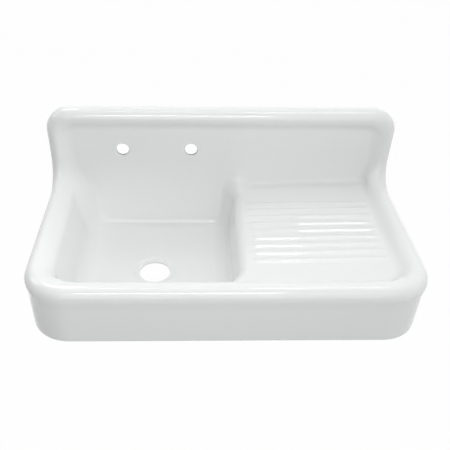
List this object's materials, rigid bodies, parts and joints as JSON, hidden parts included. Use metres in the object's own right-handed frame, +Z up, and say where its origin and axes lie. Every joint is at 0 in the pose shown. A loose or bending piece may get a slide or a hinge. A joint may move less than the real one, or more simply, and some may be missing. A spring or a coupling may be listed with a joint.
{
  "type": "kitchen sink with drainboard",
  "caption": "Wall-hung enamelled cast-iron kitchen sink with a bowl on the left, a ridged drainboard on the right, a high back, a roll rim and an apron, on a steel wall rail",
  "frame": {"origin": "middle of the wall rail's wall face", "axes": "+X to the right as seen from the front, +Y back into the wall, +Z up"},
  "size_m": [1.0152, 0.6, 0.4071],
  "materials": {
    "white_enamel": "white vitreous enamel fused to cast iron, high gloss",
    "zinc_steel": "zinc plated, satin"
  },
  "bodies": {
    "wall_mount": {"wall_rail": "zinc_steel", "rail_washer_1": "zinc_steel", "rail_washer_2": "zinc_steel", "rail_washer_3": "zinc_steel", "rail_washer_4": "zinc_steel", "rail_washer_5": "zinc_steel", "rail_washer_6": "zinc_steel", "rail_screw_1": "zinc_steel", "rail_screw_2": "zinc_steel", "rail_screw_3": "zinc_steel", "rail_screw_4": "zinc_steel", "rail_screw_5": "zinc_steel", "rail_screw_6": "zinc_steel"},
    "sink": {"sink_casting": "white_enamel"}
  },
  "joints": [
    {"name": "lift_off", "type": "slide", "parent": "wall_mount", "child": "sink", "axis": [0, 0, 1], "range_m": [0, 0.06]}
  ]
}
